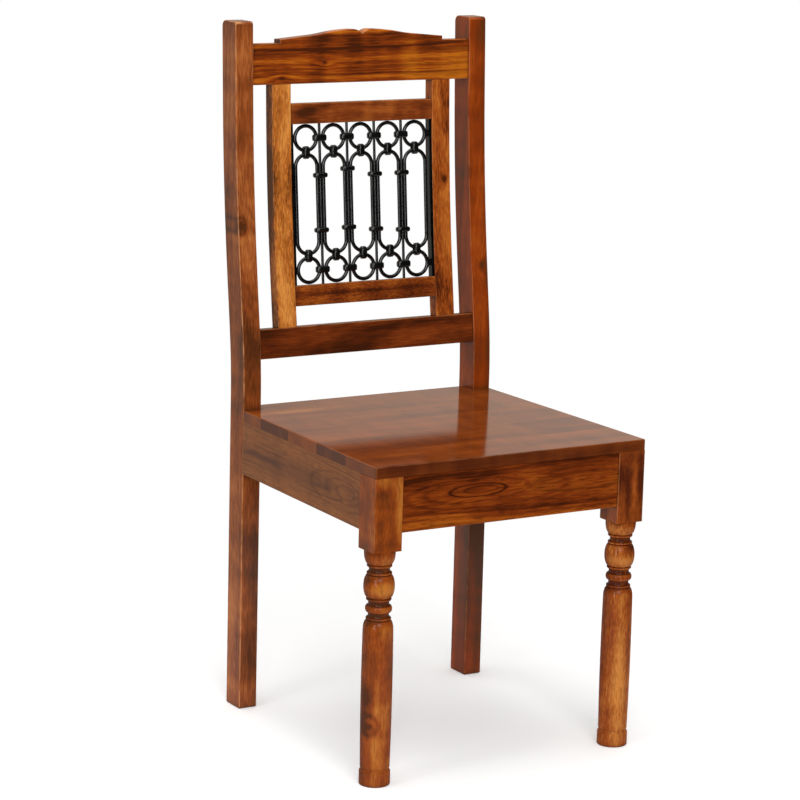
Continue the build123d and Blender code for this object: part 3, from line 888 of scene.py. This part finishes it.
@dataclass
class Aprons(SubAssembly):
    """The rails under the seat and their corner blocks."""

    title: ClassVar[str] = "aprons"
    front_face: float = -0.2384
    side_face: float = 0.213
    eye: Pair = (-0.056, 0.4036)
    side_eye: Pair = (-0.156, 0.397)
    side_pith: Triple = (0.185, -0.05, 0.392)
    side_seed: float = 7.0
    block_pith: Triple = (0.17, 0.0, 0.39)
    block_seed: float = 21.0

    def front_mark(self, across: float, level: float, size: Triple, lift: float, line: float = 0.0) -> Spot:
        """A mark on the front apron's face."""
        return Spot((across, self.front_face, level), size, lift, line)

    def front_cut(self) -> WoodCut:
        """How the front apron is cut, with an eye in its grain.

        Returns:
            Its cut.
        """
        mark = self.front_mark
        return WoodCut(
            Grain.ACROSS, (0.0, -0.2034, 0.402), 2.0, Stain.FRONT_APRON, tone=0.02, wander=0.006,
            ring_spacing=0.0034, band_spacing=0.010, contrast=0.65, blotch=0.8, line_depth=0.7, fleck=0.35,
            tick=0.5,
            ring_marks=dict(eye=mark(*self.eye, (0.062, 0.04, 0.0115), 0.007)),
            tone_marks=dict(
                pale_low_left=mark(-0.115, 0.372, (0.07, 0.05, 0.010), 0.35),
                pale_eye=mark(*self.eye, (0.05, 0.05, 0.010), 0.12),
                eye_line=mark(*self.eye, (0.045, 1.0, 0.0090), -0.7, 0.08),
                inner_line=mark(-0.050, 0.4040, (0.028, 1.0, 0.0045), -0.3, 0.15),
                second_line=mark(-0.056, 0.4030, (0.085, 1.0, 0.0155), -0.25, 0.06),
                outer_line=mark(-0.040, 0.4010, (0.130, 1.0, 0.0220), -0.2, 0.05),
                dark_high_right=mark(0.11, 0.42, (0.05, 0.05, 0.012), -0.25),
                dark_right=mark(0.14, 0.385, (0.04, 0.05, 0.03), -0.15),
            ),
        )

    def side_cut(self, side: int) -> WoodCut:
        """How a side apron is cut, with a smaller eye near its front end.

        Args:
            side: -1 for the left apron, 1 for the right one.

        Returns:
            Its cut.
        """
        face = side * self.side_face
        eye = (face, *self.side_eye)
        pith = (side * self.side_pith[0], *self.side_pith[1:])
        return WoodCut(
            Grain.FORE_AND_AFT, pith, self.side_seed + side, Stain.SIDE_APRON, tone=0.26, wander=0.008,
            ring_spacing=0.0038, contrast=0.4, blotch=0.3, line_depth=0.8, fleck=0.2,
            ring_marks=dict(eye=Spot(eye, (0.03, 0.024, 0.011), 0.006)),
            tone_marks=dict(
                pale_dash=Spot((face, -0.0685, 0.4166), (0.03, 0.006, 0.002), 0.7),
                eye_line=Spot(eye, (1.0, 0.026, 0.009), -0.3, 0.12),
                second_line=Spot((face, -0.150, 0.397), (1.0, 0.050, 0.016), -0.25, 0.08),
                outer_line=Spot((face, -0.140, 0.395), (1.0, 0.085, 0.024), -0.25, 0.06),
            ),
        )

    def cuts(self) -> dict[str, WoodCut]:
        """How each apron and corner block is cut.

        Returns:
            Cuts by node.
        """
        result = {
            "front_apron": self.front_cut(),
            "rear_apron": WoodCut(Grain.ACROSS, (0.03, 0.14, 0.37), 5.0),
        }
        for side, name in ((-1, "left"), (1, "right")):
            result[f"side_apron_{name}"] = self.side_cut(side)
            pith = (side * self.block_pith[0], *self.block_pith[1:])
            block = WoodCut(Grain.ACROSS, pith, self.block_seed + side, Stain.BARE_BLOCK, lacquer=0.0)
            for end in ("front", "rear"):
                result[f"corner_block_{end}_{name}"] = block
        return result


@dataclass
class FrontLegs(SubAssembly):
    """The two turned legs."""

    title: ClassVar[str] = "front legs"
    axis_x: float = 0.19725
    axis_y: float = -0.21916
    face: float = -0.2409
    neck: float = 0.320
    bead: float = 0.249
    collar: float = 0.232

    def round_mark(self, side: int, level: float, width: float, height: float, lift: float) -> Spot:
        """A mark that goes all round a leg."""
        return Spot((side * self.axis_x, self.axis_y, level), (width, width, height), lift)

    def left_cut(self) -> WoodCut:
        """How the left leg is cut, with a knot above its foot.

        Returns:
            Its cut.
        """
        knot = (-0.2146, -0.2301, 0.086)
        return WoodCut(
            Grain.UPRIGHT, (-0.235, -0.195, 0.0), 3.3, Stain.LEFT_LEG, band_spacing=0.03, contrast=0.35,
            blotch=0.6, blotch_spread=20.0, line_depth=0.15, fleck=0.22, fleck_spread=120.0, curl=0.3,
            edge_wear_and_highlight=0.25, turning=Turning((-self.axis_x, self.axis_y), fleck=0.25),
            ring_marks=dict(knot=Spot(knot, (0.016, 0.016, 0.018), 0.012)),
            tone_marks=dict(
                block_pale_edge=Spot((-0.180, self.face, 0.385), (0.006, 0.01, 0.05), 0.45),
                block_dark_face=Spot((-0.199, self.face, 0.385), (0.02, 0.008, 0.06), -0.22),
                block_dark_top=Spot((-0.205, self.face, 0.412), (0.012, 0.01, 0.008), -0.35),
                block_dark_streak=Spot((-0.209, self.face, 0.358), (0.006, 0.008, 0.03), -0.3),
                block_dark_foot=Spot((-0.190, self.face, 0.350), (0.010, 0.01, 0.02), -0.3),
                # Painted shade on the ball's top, and a painted highlight with a painted reflection of the
                # floor low in front.
                ball_top_painted_shade=Spot((-0.203, -0.232, 0.292), (0.014, 0.02, 0.005), -0.3),
                ball_painted_highlight=Spot((-0.197, -0.235, 0.279), (0.03, 0.03, 0.010), 0.8),
                pale_neck=self.round_mark(-1, self.neck, 0.03, 0.006, 0.25),
                pale_bead=self.round_mark(-1, self.bead, 0.03, 0.004, 0.15),
                dark_collar=self.round_mark(-1, self.collar, 0.03, 0.005, -0.35),
                dark_shaft=self.round_mark(-1, 0.12, 0.1, 0.10, -0.14),
                shaft_dark_side=Spot((-0.2163, -0.2268, 0.125), (0.006, 0.008, 0.020), -0.35),
                shaft_pale_streak=Spot((-0.2078, -0.2367, 0.120), (0.004, 0.006, 0.030), 0.35),
                shaft_pale_front=Spot((-0.190, -0.240, 0.125), (0.010, 0.012, 0.03), 0.15),
                knot=Spot(knot, (0.007, 0.007, 0.006), -0.7),
                knot_line=Spot((-0.2146, -0.2301, 0.088), (0.012, 0.012, 0.014), -0.4, 0.3),
                foot_pale_streak=Spot((-0.2096, -0.2355, 0.055), (0.005, 0.006, 0.018), 0.45),
                foot_dark_front=Spot((-0.187, -0.240, 0.055), (0.012, 0.012, 0.03), -0.2),
            ),
        )

    def right_cut(self) -> WoodCut:
        """How the right leg is cut, with long streaks down its shaft.

        Returns:
            Its cut.
        """
        return WoodCut(
            Grain.UPRIGHT, (0.16, -0.20, 0.0), 8.1, Stain.RIGHT_LEG, tone=0.05, wander=0.010,
            band_spacing=0.03, contrast=0.3, blotch=0.45, blotch_spread=20.0, line_depth=0.08, fleck=0.2,
            fleck_spread=110.0, turning=Turning((self.axis_x, self.axis_y), fleck=0.34),
            tone_marks=dict(
                dark_block=self.round_mark(1, 0.400, 0.1, 0.06, -0.35),
                block_dark_left=Spot((0.177, self.face, 0.405), (0.012, 0.01, 0.04), -0.25),
                block_pale_streak=Spot((0.203, self.face, 0.380), (0.004, 0.01, 0.045), 0.35),
                block_dark_streak=Spot((0.192, self.face, 0.375), (0.004, 0.01, 0.03), -0.25),
                block_dark_right=Spot((0.213, self.face, 0.400), (0.004, 0.01, 0.04), -0.2),
                # Painted shade on the ball's top, and a painted highlight with a painted reflection of the
                # floor low in front.
                ball_top_painted_shade=Spot((0.206, -0.232, 0.292), (0.014, 0.02, 0.006), -0.6),
                ball_painted_highlight=Spot((0.190, -0.235, 0.276), (0.03, 0.03, 0.008), 0.35),
                pale_neck=self.round_mark(1, self.neck, 0.03, 0.006, 0.3),
                dark_bead=self.round_mark(1, self.bead, 0.03, 0.004, -0.3),
                dark_collar=self.round_mark(1, self.collar, 0.03, 0.005, -0.4),
                shaft_dark_side=Spot((0.177, -0.225, 0.12), (0.007, 0.014, 0.12), -0.4),
                shaft_dark_streak=Spot((0.2049, -0.2382, 0.12), (0.004, 0.006, 0.12), -0.3),
                shaft_pale_streak=Spot((0.1905, -0.2385, 0.11), (0.004, 0.006, 0.09), 0.3),
                pale_shaft=self.round_mark(1, 0.10, 0.1, 0.12, 0.15),
            ),
        )

    def cuts(self) -> dict[str, WoodCut]:
        """How each leg is cut, by node."""
        return {"front_leg_left": self.left_cut(), "front_leg_right": self.right_cut()}


@dataclass
class BackFrame(SubAssembly):
    """Posts, rails and stiles of the back."""

    title: ClassVar[str] = "back frame"
    post: float = 0.195
    post_outside: float = 0.210
    crest_face: float = 0.20
    upper_panel_face: float = 0.20
    lower_panel_face: float = 0.172
    lower_rail_face: float = 0.164

    def post_cuts(self) -> dict[str, WoodCut]:
        """How the posts are cut, each with a knot.

        Returns:
            Cuts by node.
        """
        left_knot = (-0.2049, 0.1826, 0.7156)
        right_knot = (0.198, 0.172, 0.6365)
        outside = -self.post_outside
        left = WoodCut(
            Grain.UPRIGHT, (-0.18, 0.235, 0.0), 4.4, Stain.LEFT_POST, ring_spacing=0.003, band_spacing=0.016,
            # Strongly pale arrises on this post: partly wear, partly a painted highlight.
            contrast=0.5, blotch_spread=7.0, line_depth=0.3, fleck_spread=50.0, curl=0.4, edge_wear_and_highlight=0.8,
            ring_marks=dict(knot=Spot((-0.205, 0.183, 0.716), (0.008, 0.02, 0.016), 0.01)),
            tone_marks=dict(
                pale_middle=Spot((-self.post, 0.18, 0.72), (0.05, 0.02, 0.12), 0.15),
                dark_top=Spot((-self.post, 0.20, 0.99), (0.05, 0.02, 0.03), -0.1),
                dark_streak=Spot((-0.204, 0.192, 0.83), (0.007, 0.015, 0.05), -0.22),
                knot=Spot(left_knot, (0.005, 0.012, 0.006), -0.9),
                knot_line=Spot(left_knot, (0.008, 1.0, 0.012), -0.4, 0.25),
                pale_below_knot=Spot((-0.199, 0.176, 0.667), (0.008, 0.012, 0.03), 0.2),
                dark_above_seat=Spot((-0.201, 0.16, 0.52), (0.02, 0.012, 0.06), -0.3),
                # Painted shade on the post's front below the seat.
                post_painted_shade_under_seat=Spot((-self.post, 0.156, 0.2), (0.05, 0.008, 0.2), -0.18),
                outside_dark_middle=Spot((outside, 0.20, 0.68), (0.003, 0.05, 0.15), -0.2),
                outside_pale_top=Spot((outside, 0.22, 0.9), (0.003, 0.05, 0.1), 0.2),
                outside_pale_leg=Spot((outside, 0.18, 0.15), (0.003, 0.05, 0.15), 0.28),
            ),
        )
        right = WoodCut(
            Grain.UPRIGHT, (0.16, 0.225, 0.0), 6.9, Stain.RIGHT_POST, tone=0.10, wander=0.010,
            ring_spacing=0.003, band_spacing=0.016, contrast=0.5, blotch=0.7, blotch_spread=7.0,
            line_depth=0.25, fleck=0.25, fleck_spread=50.0, curl=0.3, lacquer=0.38, edge_wear_and_highlight=0.25,
            ring_marks=dict(knot=Spot(right_knot, (0.012, 0.02, 0.02), 0.01)),
            tone_marks=dict(
                # Painted shade on the post's front below the seat.
                post_painted_shade_under_seat=Spot((self.post, 0.156, 0.2), (0.05, 0.02, 0.2), -0.55),
                dark_top=Spot((0.197, 0.199, 0.985), (0.05, 0.05, 0.025), -0.35),
                knot=Spot(right_knot, (0.006, 0.01, 0.007), -0.6),
                dark_above_seat=Spot((0.192, 0.16, 0.50), (0.02, 0.012, 0.035), -0.35),
                dark_outer_edge=Spot((0.207, 0.19, 0.75), (0.003, 0.03, 0.25), -0.25),
                dark_inner_side=Spot((0.181, 0.21, 0.80), (0.002, 0.06, 0.2), -0.22),
            ),
        )
        return {"rear_post_left": left, "rear_post_right": right}

    def rail_cuts(self) -> dict[str, WoodCut]:
        """How the crest rail and the lower back rail are cut.

        Returns:
            Cuts by node.
        """
        face = self.crest_face
        high_knot = (-0.063, face, 0.944)
        left_knot = (-0.134, face, 0.924)
        crest = WoodCut(
            Grain.ACROSS, (0.0, 0.27, 0.80), 1.7, Stain.CREST, tone=-0.05, wander=0.009, ring_spacing=0.009,
            band_spacing=0.0115, contrast=1.1, line_depth=0.8, curl=0.4,
            ring_marks=dict(
                high_knot=Spot(high_knot, (0.016, 0.05, 0.008), 0.006),
                left_knot=Spot(left_knot, (0.02, 0.05, 0.009), -0.006),
            ),
            tone_marks=dict(
                pale_right_end=Spot((0.17, face, 0.925), (0.06, 0.05, 0.03), 0.6),
                pale_right=Spot((0.09, face, 0.925), (0.03, 0.05, 0.03), 0.2),
                dark_top=Spot((-0.02, face, 0.972), (0.12, 0.05, 0.012), -0.2),
                pale_left=Spot((-0.055, face, 0.93), (0.014, 0.05, 0.03), 0.2),
                high_knot=Spot(high_knot, (0.004, 0.05, 0.003), -0.6),
                left_knot=Spot(left_knot, (0.005, 0.05, 0.003), -0.5),
            ),
        )
        lower = WoodCut(
            Grain.ACROSS, (0.0, 0.20, 0.53), 9.2, Stain.LOWER_RAIL, tone=-0.06, wander=0.010,
            band_spacing=0.013, contrast=0.7, blotch=1.0, blotch_spread=12.0, lacquer=0.26,
            tone_marks=dict(
                pale_right=Spot((0.124, self.lower_rail_face, 0.548), (0.05, 0.05, 0.012), 0.4),
                dark_top=Spot((-0.02, self.lower_rail_face, 0.556), (0.05, 0.05, 0.006), -0.3),
            ),
        )
        return {"crest_rail": crest, "lower_back_rail": lower}

    def stile_cuts(self) -> dict[str, WoodCut]:
        """How the stiles are cut: the left one flamed, the right one with a knot.

        Returns:
            Cuts by node.
        """
        knot = (0.139, 0.192, 0.767)
        left = WoodCut(
            Grain.UPRIGHT, (-0.10, 0.215, 0.0), 5.6, Stain.LEFT_STILE, tone=0.16, wander=0.008,
            band_spacing=0.02, contrast=0.4, blotch=0.8, blotch_spread=14.0, line_depth=0.3, fleck=0.6,
            fleck_spread=110.0, lacquer=0.24,
            ring_marks=dict(flame=Spot((-0.118, 0.193, 0.775), (0.014, 0.03, 0.05), 0.012)),
            tone_marks=dict(
                dark_outside=Spot((-0.150, 0.21, 0.72), (0.003, 0.06, 0.6), -0.6),
                dark_flame=Spot((-0.122, 0.193, 0.78), (0.008, 0.03, 0.05), -0.3),
                dark_outer_edge=Spot((-0.143, 0.193, 0.80), (0.005, 0.03, 0.06), -0.25),
            ),
        )
        right = WoodCut(
            Grain.UPRIGHT, (0.155, 0.22, 0.0), 7.7, Stain.RIGHT_STILE, tone=0.12, wander=0.008, blotch=0.8,
            blotch_spread=12.0, fleck=0.55, fleck_spread=80.0, lacquer=0.28,
            ring_marks=dict(knot=Spot(knot, (0.011, 0.03, 0.02), 0.012)),
            tone_marks=dict(
                knot=Spot(knot, (0.006, 0.03, 0.006), -0.7),
                dark_streak=Spot((0.13, 0.19, 0.80), (0.01, 0.03, 0.06), -0.2),
            ),
        )
        return {"back_stile_left": left, "back_stile_right": right}

    def panel_rail_cuts(self) -> dict[str, WoodCut]:
        """How the rails above and below the grille are cut.

        Returns:
            Cuts by node.
        """
        face = self.upper_panel_face
        upper = WoodCut(
            Grain.ACROSS, (0.0, 0.23, 0.86), 3.9, Stain.UPPER_PANEL_RAIL, tone=-0.06, band_spacing=0.012,
            contrast=0.7, blotch=0.6, blotch_spread=14.0, fleck=0.3, fleck_spread=60.0, curl=0.5,
            lacquer=0.3,
            tone_marks=dict(
                first_dash=Spot((-0.105, face, 0.872), (0.014, 0.05, 0.005), -0.4),
                second_dash=Spot((-0.085, face, 0.877), (0.014, 0.05, 0.005), -0.45),
                third_dash=Spot((-0.062, face, 0.883), (0.016, 0.05, 0.005), -0.4),
                pale_middle=Spot((0.03, face, 0.872), (0.03, 0.05, 0.006), 0.25),
            ),
        )
        lower = WoodCut(
            Grain.ACROSS, (0.0, 0.22, 0.6), 4.6, Stain.LOWER_PANEL_RAIL, tone=-0.08, wander=0.008,
            band_spacing=0.011, contrast=0.7, blotch_spread=10.0, fleck=0.5, fleck_spread=160.0, curl=0.5,
            lacquer=0.26,
            tone_marks=dict(
                dark_line=Spot((0.0, self.lower_panel_face, 0.611), (0.12, 0.05, 0.003), -0.45),
                pale_line=Spot((-0.02, self.lower_panel_face, 0.621), (0.10, 0.05, 0.004), 0.25),
            ),
        )
        return {"panel_rail_upper": upper, "panel_rail_lower": lower}

    def cuts(self) -> dict[str, WoodCut]:
        """How each piece of the back is cut, by node."""
        return {**self.post_cuts(), **self.rail_cuts(), **self.stile_cuts(), **self.panel_rail_cuts()}


@dataclass
class Grille(SubAssembly):
    """The black iron grille of the back."""

    title: ClassVar[str] = "grille"
    rod_shine: float = 0.52
    strip_shine: float = 0.15

    def finishes(self) -> dict[str, Material]:
        """The paint of each iron piece, duller on the flat strips.

        Returns:
            Finishes by node.
        """
        rods = IronFinish("grille_iron", self.rod_shine).material()
        strips = IronFinish("strip_iron", self.strip_shine).material()
        names = [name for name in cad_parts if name.startswith("grille_")]
        return {name: strips if name.startswith("grille_strip") else rods for name in names}


@dataclass
class Screws(SubAssembly):
    """The screws under the seat."""

    title: ClassVar[str] = "screws"

    def finishes(self) -> dict[str, Material]:
        """The steel of the screws, by node."""
        return dict.fromkeys(("corner_block_screws", "seat_screws"), SteelFinish().material())


@dataclass
class Lamp:
    """A soft lamp with an upright face; it can be left out of shading or of reflections."""

    title: str
    place: Triple
    aim: Triple
    width: float
    height: float
    power: float
    lights: bool = True
    mirrored: bool = True

    def build(self) -> None:
        """Makes the lamp."""
        light = bpy.data.lights.new(self.title, "AREA")
        light.shape = "RECTANGLE"
        light.size = self.width
        light.size_y = self.height
        light.energy = self.power
        lamp = bpy.data.objects.new(self.title, light)
        lamp.location = self.place
        lamp.visible_diffuse = self.lights
        lamp.visible_glossy = self.mirrored
        lamp.rotation_euler = (Vector(self.aim) - Vector(self.place)).to_track_quat("-Z", "Y").to_euler()
        bpy.context.scene.collection.objects.link(lamp)


@dataclass
class Viewpoint:
    """Camera at the chair's left front, a little above the seat; angles in radians, lens in millimetres."""

    azimuth: float = -0.5386742
    pitch: float = 0.2039736
    roll: float = 0.0259470
    distance: float = 4.45346
    aim: Triple = (0.058841, 0.166833, 0.441643)
    lens: float = 134.214
    sensor: float = 36.0
    sight: float = 100.0

    def build(self) -> None:
        """Makes the camera and gives it to the scene."""
        level = math.cos(self.pitch)
        ahead = -math.cos(self.azimuth) * level
        back = Vector((math.sin(self.azimuth) * level, ahead, math.sin(self.pitch)))
        right = (-back).cross(Vector((0.0, 0.0, 1.0))).normalized()
        up = right.cross(-back)
        turned_right = math.cos(self.roll) * right + math.sin(self.roll) * up
        turned_up = -math.sin(self.roll) * right + math.cos(self.roll) * up
        turn = Matrix((turned_right, turned_up, back)).transposed().to_4x4()
        data = bpy.data.cameras.new("viewpoint")
        data.lens = self.lens
        data.sensor_width = self.sensor
        data.clip_end = self.sight
        camera = bpy.data.objects.new("viewpoint", data)
        camera.matrix_world = Matrix.Translation(Vector(self.aim) + back * self.distance) @ turn
        bpy.context.scene.collection.objects.link(camera)
        bpy.context.scene.camera = camera


@dataclass
class Studio:
    """White floor, soft lamps and a white surround that is dim in front, where the lacquer mirrors it."""

    floor_front: float = -1.3
    floor_back: float = 9.0
    floor_side: float = 7.0
    floor_tint: Triple = (0.89, 0.89, 0.885)
    floor_roughness: float = 0.9
    floor_glow: float = 0.2
    floor_behind: Pair = (-0.1, 0.9)
    floor_mirrored: Pair = (0.06, 1.0)
    shadow_reach: Pair = (0.55, 1.4)
    sky_fill: float = 0.45
    sky_behind: Pair = (0.25, 0.75)
    sky_mirrored: Pair = (0.04, 1.0)
    mirror_tint: Triple = (1.0, 0.95, 0.82)
    lamps: list[Lamp] = field(default_factory=lambda: [
        Lamp("lamp_above", (-0.2, 0.1, 3.0), (0.0, 0.0, 0.3), 2.6, 2.6, 52.0),
        Lamp("lamp_front", (-1.4, -3.6, 2.5), (0.0, 0.0, 0.5), 2.4, 2.4, 112.0),
        Lamp("lamp_left", (-2.13, -0.57, 1.02), (0.0, 0.0, 1.0), 0.5, 2.0, 8.0, mirrored=False),
        Lamp("strip_left", (-2.13, -1.49, 0.92), (0.0, 0.0, 0.9), 0.5, 1.8, 24.0, lights=False),
    ])

    def build(self) -> None:
        """Makes the floor, the lamps, the surround and the camera."""
        self.lay_floor()
        for lamp in self.lamps:
            lamp.build()
        self.wrap_surround()
        Viewpoint().build()
        bpy.context.scene.view_settings.view_transform = "Standard"

    def glow_tint(self, sheet: Sheet, ray: Mapping[str, Socket]) -> Socket:
        """White, or warm where the chair mirrors it."""
        return sheet.blend(ray["Is Glossy Ray"], WHITE, self.mirror_tint)

    def seen(self, sheet: Sheet, ray: Mapping[str, Socket], behind: Socket) -> Socket:
        """Share of white that the camera sees, or that the chair mirrors from behind it."""
        direct = sheet.math("MAXIMUM", ray["Is Camera Ray"], ray["Is Transmission Ray"])
        return sheet.math("MAXIMUM", direct, sheet.product(ray["Is Glossy Ray"], behind))

    def lay_floor(self) -> None:
        """Lays the pale floor."""
        mesh = bpy.data.meshes.new("floor")
        corners = [
            (-self.floor_side, self.floor_front, 0.0), (self.floor_side, self.floor_front, 0.0),
            (self.floor_side, self.floor_back, 0.0), (-self.floor_side, self.floor_back, 0.0),
        ]
        mesh.from_pydata(corners, [], [(0, 1, 2, 3)])
        floor = bpy.data.objects.new("floor", mesh)
        bpy.context.scene.collection.objects.link(floor)
        material, sheet, shader = blank_material("pale_floor")
        ray = sheet.add("ShaderNodeLightPath").outputs
        place = sheet.add("ShaderNodeTexCoord").outputs["Object"]
        away = sheet.band(sheet.vector("LENGTH", place), self.shadow_reach)
        glow = sheet.math("ADD", sheet.product(away, 1.0 - self.floor_glow), self.floor_glow)
        behind = sheet.band(sheet.split(place)[1], self.floor_behind, self.floor_mirrored)
        sheet.feed(shader.inputs["Base Color"], sheet.blend(away, self.floor_tint, BLACK))
        sheet.feed(shader.inputs["Emission Color"], self.glow_tint(sheet, ray))
        sheet.feed(shader.inputs["Emission Strength"], sheet.product(self.seen(sheet, ray, behind), glow))
        shader.inputs["Roughness"].default_value = self.floor_roughness
        shader.inputs["Specular IOR Level"].default_value = 0.0
        give_finish(floor, material)

    def wrap_surround(self) -> None:
        """Makes the white surround, dim in front of the chair for its reflections."""
        world = bpy.data.worlds.new("surround")
        bpy.context.scene.world = world
        world.use_nodes = True
        sheet = Sheet(world.node_tree)
        light = next(node for node in world.node_tree.nodes if node.type == "BACKGROUND")
        ray = sheet.add("ShaderNodeLightPath").outputs
        way = sheet.split(sheet.add("ShaderNodeTexCoord").outputs["Generated"])
        seen = self.seen(sheet, ray, sheet.band(way[1], self.sky_behind, self.sky_mirrored))
        fill = sheet.product(sheet.math("SUBTRACT", 1.0, ray["Is Glossy Ray"]), self.sky_fill)
        sheet.feed(light.inputs["Color"], self.glow_tint(sheet, ray))
        sheet.feed(light.inputs["Strength"], sheet.math("MAXIMUM", seen, fill))


def main() -> None:
    """Dresses each sub-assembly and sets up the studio."""
    logging.basicConfig(level=logging.INFO, format="%(message)s")
    workshop = Workshop()
    for group in (Seat, Aprons, FrontLegs, BackFrame, Grille, Screws):
        group(workshop).dress()
    Studio().build()


if __name__ == "__main__":
    main()
